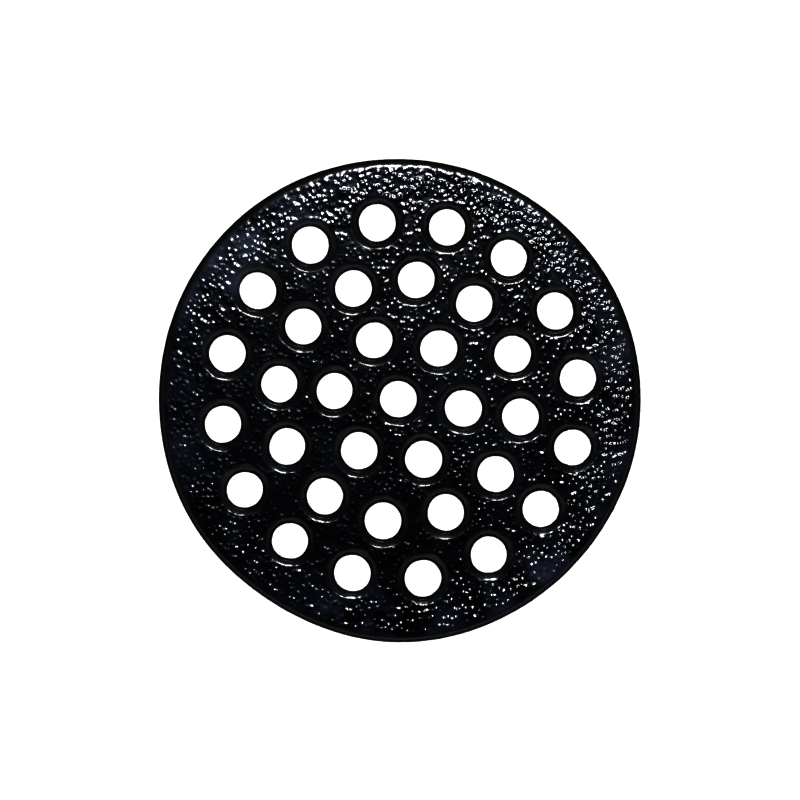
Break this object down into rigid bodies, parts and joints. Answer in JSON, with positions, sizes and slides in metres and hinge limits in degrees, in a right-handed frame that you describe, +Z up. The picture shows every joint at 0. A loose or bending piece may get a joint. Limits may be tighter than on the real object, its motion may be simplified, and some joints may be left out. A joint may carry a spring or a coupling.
{
  "type": "floor drain grate",
  "caption": "Loose round cast-iron grate, a flat coated disc with rings of round-lipped drain holes, that drops into the recess of a floor drain.",
  "frame": {"origin": "centre of the underside, the face that rests on the drain's ledge", "axes": "+Z up out of the walked-on face, along the disc's axis; +X through one hole of every ring"},
  "size_m": [0.1714, 0.1714, 0.0063],
  "materials": {
    "coated_iron": "glossy black coating over rough sand-cast iron"
  },
  "bodies": {
    "root": {"grate": "coated_iron"}
  },
  "joints": []
}
